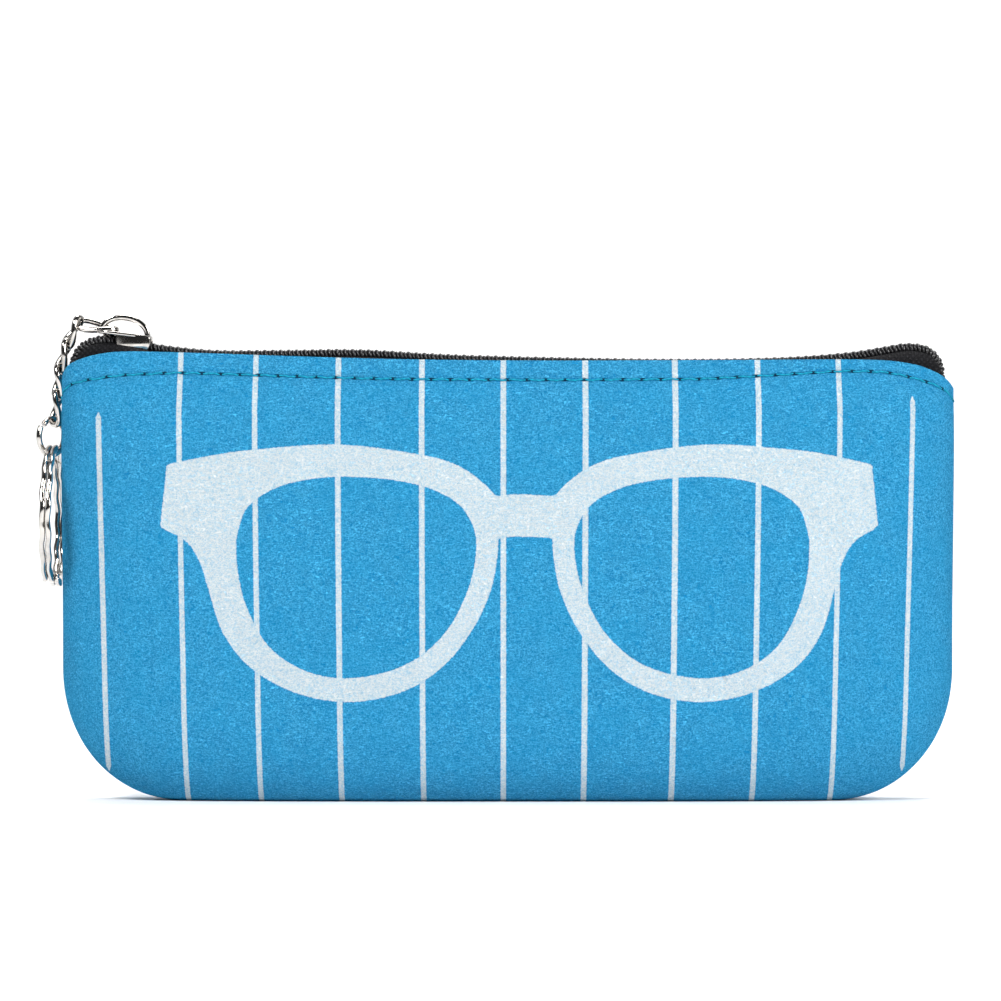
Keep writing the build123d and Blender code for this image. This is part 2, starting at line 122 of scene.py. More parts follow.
# ---- Slider ----
SLIDER_FRONT = (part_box("slider_body")[0] / MM).x
SLIDER_PLAN = (  # half outline of the plates, from the front end, as (x, y)
    (0.8, 0.0), (0.3, 1.3), (0.2, 3.0), (1.3, 4.5), (3.6, 4.9), (6.0, 4.75), (9.0, 4.2),
    (11.0, 3.4), (11.7, 1.8), (11.8, 0.0),
)
TOP_PLATE_HIGH, TOP_PLATE, SLIDER_FALL = 99.1, 0.7, 0.12
LOW_PLATE_HIGH, LOW_PLATE = 92.9, 0.8
PLATE_ROUNDING, FLANGE_ROUNDING, WEDGE_ROUNDING = 0.22, 0.2, 0.05
FLANGE_OUTLINE = (  # side skirt, from the front end, as (x, z)
    (4.3, 98.4), (4.4, 95.9), (5.1, 94.8), (6.4, 94.4), (9.6, 94.2), (10.8, 94.7),
    (11.4, 95.7), (11.4, 97.6),
)
FLANGE_OUT, FLANGE = 4.35, 0.75
WEDGE_FROM, WEDGE_TO, WEDGE_HALF_WIDTH = 1.2, 3.6, 0.9
BRIDGE_LINE = (  # centre of the pull bridge, from the front end, as (x, z)
    (0.9, 98.6), (1.1, 99.8), (2.5, 101.15), (4.8, 101.7), (7.4, 101.35), (9.3, 100.35),
    (10.4, 98.9), (10.7, 97.3),
)
BRIDGE_WIDE, BRIDGE_THICK = 1.7, 1.2

# ---- Chain and rings ----
CHAIN = (  # the bottom bend of each link, where the next one hangs, as (x, z)
    (-82.6, 99.2), (-90.8, 100.4), (-93.1, 95.6), (-94.6, 90.3), (-94.9, 84.9), (-95.5, 79.1),
)
LINK_WIRE, LINK_WIDTH, LINK_PLAY = 0.64, 4.5, 0.05
LINK_END_POWER, LINK_SIDE_POWER = 0.85, 0.75  # below 1, fuller than an ellipse
LINK_ENDS = ((0, -55), (35, -55), (35, -55), (35, -55), (35, -55))  # end turns, degrees
JUMP_RING, JUMP_RING_WIRE, JUMP_RING_X = 3.85, 0.62, -96.2
JUMP_RING_TURN, JUMP_RING_CUT, JUMP_RING_GAP, JUMP_RING_SPREAD = 55.0, 142.0, 9.0, 0.5
RING_OUTER, RING_BAND, RING_STRIP = 14.9, 1.75, 1.15
RING_STEP, RING_TOP, RING_X = 1.25, 74.9, -95.9
RING_START, RING_WAVE, RING_WAVES, RING_WAVES_SLOW = 200.0, 0.13, 15, 7.3

# ---- Print ----
STRIPES = (-85.8, -68.8, -53.0, -35.6, -18.0, -0.9, 16.3, 35.2, 52.6, 69.6, 84.9)
STRIPE_STEP, STRIPE_HALF_WIDTH, STRIPE_EDGE = 17.1, 0.57, 0.10
OUTER_STRIPE_LOW, OUTER_STRIPE_HIGH = 6.4, (81.5, 84.8)  # highs of the left and the right one
OUTER_STRIPE_FROM, STRIPES_END = 77.0, 88.5
STRIPE_TIP, STRIPE_TIP_NARROWER = 1.2, 0.40
STRIPE_TAPER, STRIPE_TAPER_AT = 0.0003, 47.0  # stripes spread with height
STRIPE_LEAN, STRIPE_LEAN_FROM, STRIPE_LEAN_OVER = 0.008, 82.0, 12.0
INK_RAGGED, PRINT_EDGE, INK_COVER = 0.55, 0.12, 0.97
PRINT_MIDDLE, PRINT_FAR = 2.0, 6.0
NOSE_TOP, NOSE_BOTTOM = 64.5, 55.5  # of the eyeglasses' bridge
NOSE_Z, NOSE_HALF_HIGH, NOSE_INSET, NOSE_HALF_WIDE = 59.9, 4.3, 0.2, 3.0
RIGHT_SHIFT = ((0.0, 0.0), (3.9, 3.5), (12.0, 3.4), (60.0, 2.4), (75.3, 0.9))  # as (x, more)
PRINT_SHRINK = 0.987  # the bellied felt stands nearer than the case's middle
VIEW_MIDDLE = (-1.5, 63.1)
CAMERA_AWAY, CAMERA_LENS, CAMERA_SENSOR = 1.0, 170.4, 36

# ---- Lights, as name, place, target in metres, size in metres, power in watts ----
LIGHTS = (
    ("key", (-0.7, -1.1, 1.2), (0, 0, 0.05), 0.5, 26),
    ("fill", (0.9, -0.9, 0.6), (0, 0, 0.05), 0.6, 17),
    ("top", (0.1, 0.3, 1.5), (0, 0, 0.05), 0.8, 13),
    ("backdrop", (0, 0.3, 1.3), (0, 1.5, 0.2), 0.8, 6),
)


# ---- Shape of the pouch ----

def half_width(z):
    if z >= CORNER_HEIGHT:
        return HALF_WIDTH
    reach = (CORNER_HEIGHT - z) / CORNER_HEIGHT
    return HALF_WIDTH - CORNER_WIDTH * (1 - math.sqrt(max(0.0, 1 - reach**2)))


def half_depth(z):
    if z < BELLY_LOW:
        reach = (BELLY_LOW - z) / BELLY_LOW
        round_part = math.sqrt(max(0.0, 1 - reach**2))
        return BASE_HALF_DEPTH + (HALF_DEPTH - BASE_HALF_DEPTH) * round_part
    share = max(0.0, (z - BELLY_HIGH) / (MOUTH_HEIGHT - BELLY_HIGH))
    return HALF_DEPTH - (HALF_DEPTH - MOUTH_HALF_DEPTH) * share**2


def squareness(z):
    share = min(max((z - BELLY_HIGH) / (MOUTH_HEIGHT - BELLY_HIGH), 0.0), 1.0)
    return BELLY_SQUARENESS + (MOUTH_SQUARENESS - BELLY_SQUARENESS) * share**2


@functools.lru_cache(maxsize=None)
def section(z, inset=0.0):
    """Left half of the pouch's plan at height z, as columns of (x, |y|) from the seam."""
    power = squareness(z)
    step = np.linspace(0, 1, 260)
    reach = np.concatenate([step, (1 - step**2) ** (1 / power)])
    depth = np.concatenate([np.sqrt(1 - step**power), step])
    order = np.lexsort((depth, -reach))
    wide = half_width(z) + SEAM_ROUNDING - inset
    y = (half_depth(z) - inset) * depth[order]
    groove = SEAM_GROOVE * np.exp(-y / SEAM_GROOVE_REACH)
    x = -wide * reach[order] + groove * (reach[order] > 0.5)
    run = np.concatenate([[0], np.cumsum(np.hypot(np.diff(x), np.diff(y)))])
    at = np.linspace(0, run[-1], COLUMNS + 1)
    return np.interp(at, run, x), np.interp(at, run, y)


def smooth_line(points, count=16):
    """Catmull-Rom curve through the points, as dense points."""
    points = [np.array(p, float) for p in points]
    ends = [2 * points[0] - points[1], *points, 2 * points[-1] - points[-2]]
    curve = []
    for a, b, c, d in zip(ends, ends[1:], ends[2:], ends[3:]):
        for t in np.arange(count) / count:
            curve.append(0.5 * (
                2 * b + (c - a) * t + (2 * a - 5 * b + 4 * c - d) * t**2
                + (3 * b - a - 3 * c + d) * t**3
            ))
    return np.array([*curve, points[-1]])


EDGE_CURVE = smooth_line(EDGE_POINTS)


def edge_height(x):
    return float(np.interp(x, EDGE_CURVE[:, 0], EDGE_CURVE[:, 1]))


def wall_point(column, z, end, inset=0.0):
    """Point of the outer face at height z. end is -1 for the left half, 1 for the right."""
    x, y = section(round(z, 3), inset)
    return -end * x[column], y[column]


def top_height(column, end):
    z = MOUTH_HEIGHT
    for _ in range(4):
        z = edge_height(wall_point(column, z, end)[0])
    return z


# ---- Mesh helpers ----

def new_object(name, vertices, faces, materials=()):
    mesh = bpy.data.meshes.new(name)
    mesh.from_pydata([tuple(float(c) * MM for c in v) for v in vertices], [], faces)
    obj = bpy.data.objects.new(name, mesh)
    bpy.context.collection.objects.link(obj)
    for material in materials:
        mesh.materials.append(material)
    mesh.polygons.foreach_set("use_smooth", [True] * len(mesh.polygons))
    return obj


def weld(obj, distance=0.004):
    """Joins vertices that meet and turns every face outwards."""
    bm = bmesh.new()
    bm.from_mesh(obj.data)
    bmesh.ops.remove_doubles(bm, verts=bm.verts, dist=distance * MM)
    bmesh.ops.recalc_face_normals(bm, faces=bm.faces)
    bm.to_mesh(obj.data)
    bm.free()


def grid_faces(rows, columns, closed=False):
    """Quads of a grid of vertices; closed joins the last column to the first."""
    last = columns if closed else columns - 1
    return [
        (r * columns + c, r * columns + (c + 1) % columns,
         (r + 1) * columns + (c + 1) % columns, (r + 1) * columns + c)
        for r in range(rows - 1) for c in range(last)
    ]


def apply_modifiers(obj):
    depsgraph = bpy.context.evaluated_depsgraph_get()
    evaluated = obj.evaluated_get(depsgraph)
    mesh = bpy.data.meshes.new_from_object(evaluated, depsgraph=depsgraph)
    obj.modifiers.clear()
    obj.data = mesh


def set_rest(obj):
    """Keeps every vertex's rest position, in millimetres, for the materials."""
    mesh = obj.data
    co = np.empty(len(mesh.vertices) * 3, np.float32)
    mesh.vertices.foreach_get("co", co)
    rest = mesh.attributes.new("rest", "FLOAT_VECTOR", "POINT")
    rest.data.foreach_set("vector", co / MM)


def set_value(obj, name, values):
    attribute = obj.data.attributes.new(name, "FLOAT", "POINT")
    attribute.data.foreach_set("value", np.asarray(values, np.float32))


def end_caps(sides, rows):
    """Faces that close both ends of a closed grid."""
    last = (rows - 1) * sides
    return [tuple(range(sides))[::-1], tuple(range(last, last + sides))]


def run_at(points, k):
    """Unit direction of a path at its point k."""
    return Vector(points[min(k + 1, len(points) - 1)] - points[max(k - 1, 0)]).normalized()


def tube(points, radius, sides):
    """Vertices and faces of a round tube along points, closed at both ends."""
    points = [Vector(p) for p in points]
    vertices, normal = [], None
    for k, point in enumerate(points):
        tangent = run_at(points, k)
        if normal is None:
            normal = tangent.orthogonal().normalized()
        normal = (normal - tangent * normal.dot(tangent)).normalized()
        across = tangent.cross(normal)
        for s in range(sides):
            a = 2 * math.pi * s / sides
            vertices.append(point + (normal * math.cos(a) + across * math.sin(a)) * radius)
    return vertices, grid_faces(len(points), sides, closed=True) + end_caps(sides, len(points))


def joined(parts):
    """One vertex and face list from several."""
    vertices, faces = [], []
    for part_vertices, part_faces in parts:
        start = len(vertices)
        vertices += list(part_vertices)
        faces += [tuple(start + i for i in face) for face in part_faces]
    return vertices, faces


# ---- Materials ----

class Nodes:
    """A material's node tree, with short calls that make and link nodes."""

    def __init__(self, name):
        self.material = bpy.data.materials.new(name)
        self.material.use_nodes = True
        self.tree = self.material.node_tree
        self.shader = self.tree.nodes["Principled BSDF"]

    def make(self, kind, **settings):
        node = self.tree.nodes.new("ShaderNode" + kind)
        for key, value in settings.items():
            setattr(node, key, value)
        return node

    def put(self, value, socket):
        if isinstance(value, bpy.types.NodeSocket):
            self.tree.links.new(value, socket)
        else:
            socket.default_value = value

    def math(self, operation, *values):
        node = self.make("Math", operation=operation)
        for value, socket in zip(values, node.inputs):
            self.put(value, socket)
        return node.outputs[0]

    def attribute(self, name, output="Fac"):
        return self.make("Attribute", attribute_name=name).outputs[output]

    def noise(self, vector, scale, detail=2.0, roughness=0.6, distortion=0.0):
        node = self.make("TexNoise")
        for key, value in (("Vector", vector), ("Scale", scale), ("Detail", detail),
                           ("Roughness", roughness), ("Distortion", distortion)):
            self.put(value, node.inputs[key])
        return node.outputs["Fac"]

    def stretched(self, vector, scale, turn):
        node = self.make("Mapping")
        self.put(vector, node.inputs["Vector"])
        node.inputs["Scale"].default_value = scale
        node.inputs["Rotation"].default_value = turn
        return node.outputs[0]

    def ramp(self, value, low, high, start=0.0, end=1.0):
        node = self.make("MapRange", interpolation_type="SMOOTHSTEP")
        for key, amount in (("Value", value), ("From Min", low), ("From Max", high),
                            ("To Min", start), ("To Max", end)):
            self.put(amount, node.inputs[key])
        return node.outputs["Result"]

    def mix(self, share, first, second):
        node = self.make("Mix", data_type="RGBA")
        self.put(share, node.inputs["Factor"])
        self.put(first, node.inputs[6])
        self.put(second, node.inputs[7])
        return node.outputs[2]

    def bump(self, height, distance, strength=1.0, normal=None):
        node = self.make("Bump")
        self.put(height, node.inputs["Height"])
        node.inputs["Distance"].default_value = distance
        node.inputs["Strength"].default_value = strength
        if normal is not None:
            self.put(normal, node.inputs["Normal"])
        return node.outputs[0]

    def finish(self, **sockets):
        for name, value in sockets.items():
            self.put(value, self.shader.inputs[name.replace("_", " ")])
        return self.material


BLUE = (0.008, 0.330, 0.660, 1)
BLUE_DARK = (0.001, 0.170, 0.430, 1)
BLUE_LIGHT = (0.095, 0.570, 0.930, 1)
BLUE_CUT = (0.100, 0.500, 0.800, 1)
INK = (0.860, 0.910, 0.920, 1)
INK_THIN = (0.400, 0.660, 0.820, 1)
THREAD_BLUE = (0.006, 0.330, 0.480, 1)
# THREAD_DARK is the painted shade between the plies, and the darker fuzz
THREAD_DARK = (0.002, 0.190, 0.300, 1)
# painted shade inside the needle holes
HOLE_SHADE = (0.001, 0.020, 0.055, 1)
BLACK = (0.004, 0.004, 0.005, 1)
# a lighter black: the painted sheen on the tape's ribs, and the cord's lighter strands
BLACK_LIGHT = (0.030, 0.030, 0.035, 1)
BLACK_SCUFFED = (0.016, 0.016, 0.019, 1)
NICKEL = (0.580, 0.555, 0.525, 1)
NICKEL_STAINED = (0.400, 0.385, 0.365, 1)
FELT_SURFACE = {
    "Specular_IOR_Level": 0.06, "Sheen_Weight": 0.12, "Sheen_Roughness": 0.5,
    "Sheen_Tint": (0.20, 0.60, 1.00, 1),
}


def felt_fibres(n, rest):
    """Tangled fibres at three turns, with fine mottling; values near 0 to 1."""
    strands = []
    for k, turn in enumerate(((0.0, 0.5, 0.3), (1.1, 0.2, 2.1), (2.2, 0.9, 1.2))):
        laid = n.stretched(rest, (0.7, 3.4, 3.4), turn)
        strands.append(n.noise(laid, 1.3 + 0.2 * k, 2.0, 0.6, 1.0))
    tangled = n.math("MAXIMUM", n.math("MAXIMUM", strands[0], strands[1]), strands[2])
    mottle = n.noise(rest, 2.7, 3.0, 0.75)
    fibres = n.math("ADD", n.math("MULTIPLY", tangled, 0.5), n.math("MULTIPLY", mottle, 0.5))
    return n.ramp(fibres, 0.43, 0.65), n.noise(rest, 0.16, 3.0, 0.55)


def felt_colour(n, rest):
    fibres, clumps = felt_fibres(n, rest)
    colour = n.mix(fibres, BLUE_DARK, BLUE_LIGHT)
    colour = n.mix(n.ramp(clumps, 0.3, 0.7, 0.10, 0.35), colour, BLUE)
    return colour, fibres


def plain_felt():
    n = Nodes("blue_felt")
    rest = n.attribute("rest", "Vector")
    colour, fibres = felt_colour(n, rest)
    fuzz = n.bump(fibres, 0.00035, 1.0)
    return n.finish(Base_Color=colour, Roughness=0.96, Normal=fuzz, **FELT_SURFACE)


def ink_print(n, rest, colour, fibres):
    """The pinstripes and the eyeglasses, as ink with bare fibres showing through."""
    rough = n.math("SUBTRACT", n.noise(rest, 2.2, 3.0, 0.7), 0.5)
    rough = n.math("MULTIPLY", rough, INK_RAGGED)
    stripe = n.attribute("stripe")
    off = n.math("ABSOLUTE", n.math("SUBTRACT", stripe, n.math("ROUND", stripe)))
    distance = n.math("ADD", n.math("MULTIPLY", off, STRIPE_STEP), n.math("MULTIPLY", rough, 0.6))
    room = n.attribute("stripe_room")
    distance = n.math("ADD", distance, n.ramp(room, STRIPE_TIP, 0.0, 0.0, STRIPE_TIP_NARROWER))
    stripes = n.ramp(distance, STRIPE_HALF_WIDTH + STRIPE_EDGE, STRIPE_HALF_WIDTH - STRIPE_EDGE)
    stripes = n.math("MULTIPLY", stripes, n.ramp(room, -0.2, 0.2))
    inside = n.math("ADD", n.attribute("print_inside"), rough)
    printed = n.math("MAXIMUM", stripes, n.ramp(inside, -PRINT_EDGE, PRINT_EDGE))
    gaps = n.ramp(n.noise(rest, 1.6, 4.0, 0.75), 0.30, 0.52)
    ink = n.mix(n.math("MULTIPLY", gaps, n.ramp(fibres, -0.3, 0.7)), INK_THIN, INK)
    return n.mix(n.math("MULTIPLY", printed, INK_COVER), colour, ink), printed


def needle_holes(n, colour):
    """The row of holes that the topstitch dips into, with painted shade in the holes and along the
    furrow of the stitches.
    """
    along = n.math("DIVIDE", n.attribute("stitch_along"), STITCH_PITCH)
    beside = n.math("ABSOLUTE", n.math("SUBTRACT", along, n.math("ROUND", along)))
    beside = n.math("MULTIPLY", beside, STITCH_PITCH * HOLE_ALONG)
    across = n.math("MULTIPLY", n.attribute("stitch_across"), HOLE_ACROSS)
    away = n.math("SQRT", n.math("ADD", n.math("POWER", beside, 2.0), n.math("POWER", across, 2.0)))
    holes = n.ramp(away, HOLE_OUTER, HOLE_INNER)
    # painted shade along the furrow of the stitches, darkest in the holes
    shade = n.ramp(n.math("ABSOLUTE", across), FURROW_OUTER, FURROW_INNER, 0.0, FURROW_SHADE)
    colour = n.mix(shade, colour, BLUE_DARK)
    return n.mix(holes, colour, HOLE_SHADE), holes


def panel_felt(name, printed):
    """Outer face of a felt panel, with its needle holes, painted shade in them and along the
    stitches, and, in front, the print.
    """
    n = Nodes(name)
    rest = n.attribute("rest", "Vector")
    colour, fibres = felt_colour(n, rest)
    roughness, height = 0.96, 0.0
    if printed:
        colour, ink = ink_print(n, rest, colour, fibres)
        roughness = n.ramp(ink, 0.0, 1.0, 0.96, 0.80)
        height = n.math("MULTIPLY", ink, 0.15)
    colour, holes = needle_holes(n, colour)
    fuzz = n.bump(fibres, 0.00035, 1.0)
    relief = n.bump(n.math("SUBTRACT", height, holes), 0.0003, 0.6, fuzz)
    return n.finish(Base_Color=colour, Roughness=roughness, Normal=relief, **FELT_SURFACE)


def cut_felt():
    """The cut edge: paler, with the fibre ends showing."""
    n = Nodes("cut_felt_edge")
    rest = n.attribute("rest", "Vector")
    colour, fibres = felt_colour(n, rest)
    colour = n.mix(0.45, colour, BLUE_CUT)
    return n.finish(
        Base_Color=colour, Roughness=1.0, Specular_IOR_Level=0.1,
        Sheen_Weight=0.5, Sheen_Roughness=0.5,
        Normal=n.bump(fibres, 0.0004, 1.0),
    )


def sewing_thread(name, dark, light):
    """Plied thread: slanting bands along its run, with painted shade between the plies."""
    n = Nodes(name)
    rest = n.attribute("rest", "Vector")
    band = n.make("TexWave", bands_direction="DIAGONAL", wave_profile="SIN")
    n.put(rest, band.inputs["Vector"])
    n.put(0.5, band.inputs["Scale"])
    n.put(0.6, band.inputs["Distortion"])
    plies = band.outputs["Fac"]
    fuzz = n.noise(rest, 9.0, 3.0, 0.7)
    # painted shade: darker between the plies where the bump sinks, and darker where the fuzz noise
    # is low
    colour = n.mix(n.math("MULTIPLY", plies, n.ramp(fuzz, 0.2, 0.8, 0.4, 1.0)), dark, light)
    return n.finish(
        Base_Color=colour, Roughness=0.7, Specular_IOR_Level=0.15,
        Normal=n.bump(plies, 0.00010, 0.8),
    )


def woven_tape():
    """Herringbone polyester tape, its raised ribs lighter with painted sheen."""
    n = Nodes("woven_black_tape")
    rest = n.attribute("rest", "Vector")
    weave = []
    for turn in (0.785, -0.785):
        laid = n.stretched(rest, (1, 1, 1), (0, turn, 0))
        band = n.make("TexWave", bands_direction="X", wave_profile="SIN")
        n.put(laid, band.inputs["Vector"])
        n.put(0.36, band.inputs["Scale"])
        n.put(0.8, band.inputs["Distortion"])
        n.put(1.5, band.inputs["Detail"])
        weave.append(band.outputs["Fac"])
    ribs = n.math("MULTIPLY", weave[0], weave[1])
    lint = n.noise(rest, 2.5, 4.0, 0.7)
    # painted sheen: lighter on the raised ribs of the weave, and more so where the lint noise is
    # high
    colour = n.mix(n.math("MULTIPLY", ribs, n.ramp(lint, 0.35, 0.75)), BLACK, BLACK_LIGHT)
    return n.finish(
        Base_Color=colour, Roughness=0.8, Specular_IOR_Level=0.12,
        Normal=n.bump(ribs, 0.0003, 1.0),
    )


def nylon():
    """Black nylon filament of the coils."""
    n = Nodes("black_nylon_coil")
    rest = n.attribute("rest", "Vector")
    scuffs = n.noise(rest, 3.0, 4.0, 0.7)
    colour = n.mix(n.ramp(scuffs, 0.45, 0.75), BLACK, BLACK_SCUFFED)
    return n.finish(
        Base_Color=colour, Roughness=n.ramp(scuffs, 0.3, 0.7, 0.24, 0.42),
        Normal=n.bump(scuffs, 0.00004, 0.6),
    )


def nickel():
    """Polished nickel plating with fine hairlines and faint stains."""
    n = Nodes("polished_nickel")
    place = n.make("TexCoord").outputs["Object"]
    hairlines = n.noise(n.stretched(place, (900, 5200, 900), (0.3, 0.5, 0.2)), 1.0, 3.0, 0.6)
    stains = n.noise(place, 420.0, 3.0, 0.6)
    colour = n.mix(n.ramp(stains, 0.4, 0.75), NICKEL, NICKEL_STAINED)
    gloss = n.math("ADD", n.ramp(stains, 0.35, 0.8, 0.06, 0.17),
                   n.math("MULTIPLY", hairlines, 0.06))
    return n.finish(
        Base_Color=colour, Metallic=1.0, Roughness=gloss,
        Normal=n.bump(hairlines, 0.00001, 0.35),
    )


def braided_cord():
    """Black cotton cord inside the coils."""
    n = Nodes("black_cotton_cord")
    rest = n.attribute("rest", "Vector")
    twist = n.noise(n.stretched(rest, (1.2, 4, 4), (0, 0.6, 0.4)), 2.0, 2.0)
    return n.finish(
        Base_Color=n.mix(twist, BLACK, BLACK_LIGHT), Roughness=0.9,
        Normal=n.bump(twist, 0.0001, 0.8),
    )


# ---- Eyeglasses print ----

BROW = ((75.3, 57.5), (73.9, 70.7), (64.5, 72.6), (54.8, 73.9), (37.4, 74.9),
        (20.1, 72.7), (12.6, 70.5), (7.7, 67.3), (4.4, 64.0))
RIM = ((3.9, 55.3), (4.2, 51.0), (5.7, 43.7), (9.6, 35.6), (15.6, 28.2), (24.0, 22.9),
       (35.0, 20.7), (46.0, 22.4), (55.8, 27.6), (62.0, 35.3), (65.2, 45.0),
       (66.9, 50.2), (69.8, 54.5), (75.3, 57.5))
LENS = ((59.2, 55.0), (57.0, 61.5), (51.0, 65.7), (43.0, 67.7), (35.0, 68.1), (26.0, 67.4),
        (18.0, 65.5), (12.0, 62.0), (8.9, 56.5), (8.9, 50.0), (11.0, 42.6), (15.2, 35.2),
        (21.5, 29.6), (29.0, 26.6), (37.5, 25.7), (45.5, 27.6), (52.5, 32.6), (57.0, 40.8),
        (58.9, 48.5))


def print_outlines():
    """Closed outlines of the frame and of the two lens openings, in millimetres."""
    brow = [*smooth_line(BROW[:2], 2), *smooth_line(BROW[1:], 8)]
    half = np.array([*brow, (0.0, NOSE_TOP), (0.0, NOSE_BOTTOM), *smooth_line(RIM, 8)])
    lens = smooth_line([*LENS, LENS[0]], 8)

    def placed(outline, side):
        more = np.interp(outline[:, 0], *zip(*RIGHT_SHIFT)) if side > 0 else 0.0
        x = PRINT_MIDDLE + side * (outline[:, 0] + more)
        z = outline[:, 1]
        x = VIEW_MIDDLE[0] + (x - VIEW_MIDDLE[0]) * PRINT_SHRINK
        z = VIEW_MIDDLE[1] + (z - VIEW_MIDDLE[1]) * PRINT_SHRINK
        return np.column_stack([x, z])

    return [placed(half, -1), placed(half, 1)], [placed(lens, -1), placed(lens, 1)]


def depth_inside(points, outline):
    """Distance to a closed outline, above zero inside it."""
    a, b = outline, np.roll(outline, -1, axis=0)
    along = b - a
    length = np.maximum((along**2).sum(1), 1e-9)
    nearest = np.full(len(points), 1e9)
    crossings = np.zeros(len(points), int)
    for start, run, size, end in zip(a, along, length, b):
        t = np.clip(((points - start) @ run) / size, 0, 1)
        gap = points - start - t[:, None] * run
        nearest = np.minimum(nearest, (gap**2).sum(1))
        spans = (start[1] > points[:, 1]) != (end[1] > points[:, 1])
        if abs(run[1]) > 1e-9:
            at = start[0] + (points[:, 1] - start[1]) / run[1] * run[0]
            crossings += spans & (points[:, 0] < at)
    return np.sqrt(nearest) * np.where(crossings % 2 == 1, 1, -1)


def print_depth(points):
    """Distance to the edge of the printed eyeglasses, above zero in the ink."""
    frames, lenses = print_outlines()
    body = np.maximum(*(depth_inside(points, outline) for outline in frames))
    from_middle = np.abs(points[:, 0] - PRINT_MIDDLE)
    nose = NOSE_HALF_HIGH - np.maximum(np.abs(points[:, 1] - NOSE_Z), from_middle - NOSE_INSET)
    body = np.maximum(body, np.where(from_middle < NOSE_HALF_WIDE, nose, -PRINT_FAR))
    hole = np.maximum(*(depth_inside(points, outline) for outline in lenses))
    return np.clip(np.minimum(body, -hole), -PRINT_FAR, PRINT_FAR)


# ---- Felt panels ----

def panel_rows(column, end):
    """Outer points of one column, from the bottom seam up to the mouth, as (x, |y|, z)."""
    points = []
    base_x, base_y = wall_point(column, 0.0, end)
    for k in range(ROW_FLAT):
        points.append((base_x, base_y * k / ROW_FLAT, 0.0))
    for k in range(ROW_CURVE):
        z = BELLY_LOW * (1 - math.cos(math.pi / 2 * k / ROW_CURVE))
        points.append((*wall_point(column, z, end), z))
    z = BELLY_LOW
    while z < ROW_WALL - 0.01:
        points.append((*wall_point(column, z, end), z))
        z += ROW_STEP
    top = top_height(column, end)
    for k in range(TOP_ROWS + 1):
        z = ROW_WALL + (top - ROW_WALL) * k / TOP_ROWS
        points.append((*wall_point(column, z, end), z))
    return points


def all_columns():
    """Every column of a whole panel from the left seam to the right one."""
    left = [(column, -1) for column in range(COLUMNS + 1)]
    return left + [(column, 1) for column in range(COLUMNS - 1, -1, -1)]


def stitch_line():
    """The topstitch across the columns: heights, run from the middle, and points as (x, |y|, z)."""
    heights, points = [], []
    for column, end in all_columns():
        top = top_height(column, end)
        z = top - float(np.interp(wall_point(column, top, end)[0], *zip(*STITCH_BELOW)))
        x, y = wall_point(column, z, end)
        heights.append(z)
        points.append((x, y, z))
    points = np.array(points)
    run = np.concatenate([[0], np.cumsum(np.linalg.norm(np.diff(points, axis=0), axis=1))])
    return heights, run - run[COLUMNS], points


def surface_wave(x, z, side):
    """Soft unevenness of a panel's face."""
    wave = sum(share * noise.noise(Vector((x / along, side * seed, z / up)))
               for share, along, up, seed in WAVES)
    dents = sum(deep * math.exp(-((x - at_x) / DENT_WIDE) ** 2 - ((z - at_z) / DENT_HIGH) ** 2)
                for at_x, at_z, deep in DENTS)
    return UNEVENNESS * wave - dents


def whole_panel(name, side, printed):
    """Both halves of a panel. side is -1 for the front and 1 for the back."""
    columns = [panel_rows(column, end) for column, end in all_columns()]
    heights, run, _ = stitch_line()
    vertices, along, across = [], [], []
    for r in range(len(columns[0])):
        for column, stitch_z, stitch_run in zip(columns, heights, run):
            x, y, z = column[r]
            free = min(1.0, z / CALM_BASE) * min(1.0, y / CALM_SEAM)
            above = z - stitch_z
            pull = STITCH_PULL * math.exp(-(above / STITCH_PULL_REACH) ** 2)
            lip = LIP_FLARE * math.exp(-((z - column[-1][2]) / LIP_REACH) ** 2)
            y += free * (surface_wave(x, z, side) - pull + lip)
            vertices.append((x, side * y, z))
            along.append(stitch_run)
            across.append(max(-STITCH_NEAR, min(STITCH_NEAR, above)))
    obj = new_object(name, vertices, grid_faces(len(columns[0]), len(columns)))
    set_value(obj, "stitch_along", along)
    set_value(obj, "stitch_across", across)
    weld(obj)
    facing = sum(p.normal.y for p in obj.data.polygons)
    if facing * side < 0:
        obj.data.flip_normals()
    solid = obj.modifiers.new("thickness", "SOLIDIFY")
    solid.thickness = FELT * MM
    solid.offset = -1
    solid.material_offset = 1
    solid.material_offset_rim = 2
    face_material = printed_material if printed else back_material
    for material in (face_material, felt_material, edge_material):
        obj.data.materials.append(material)
    round_edge = obj.modifiers.new("round_edge", "BEVEL")
    round_edge.width = FELT_EDGE_ROUNDING * MM
    round_edge.segments = 2
    round_edge.limit_method = "ANGLE"
    round_edge.angle_limit = math.radians(50)
    apply_modifiers(obj)
    for vertex in obj.data.vertices:
        vertex.co.z = max(vertex.co.z, 0.0)
    set_rest(obj)
    felt_attributes(obj)
    return obj


def cut_half(whole, name, end):
    """The left or right half of a piece, closed where it is cut."""
    obj = whole.copy()
    obj.data = whole.data.copy()
    obj.name = name
    bpy.context.collection.objects.link(obj)
    bm = bmesh.new()
    bm.from_mesh(obj.data)
    geometry = bm.verts[:] + bm.edges[:] + bm.faces[:]
    cut = bmesh.ops.bisect_plane(
        bm, geom=geometry, dist=1e-6, plane_co=(0, 0, 0), plane_no=(end, 0, 0), clear_inner=True
    )
    edges = [e for e in cut["geom_cut"] if isinstance(e, bmesh.types.BMEdge)]
    bmesh.ops.holes_fill(bm, edges=edges, sides=0)
    for edge in edges:
        edge.smooth = False
    bm.to_mesh(obj.data)
    bm.free()
    return obj


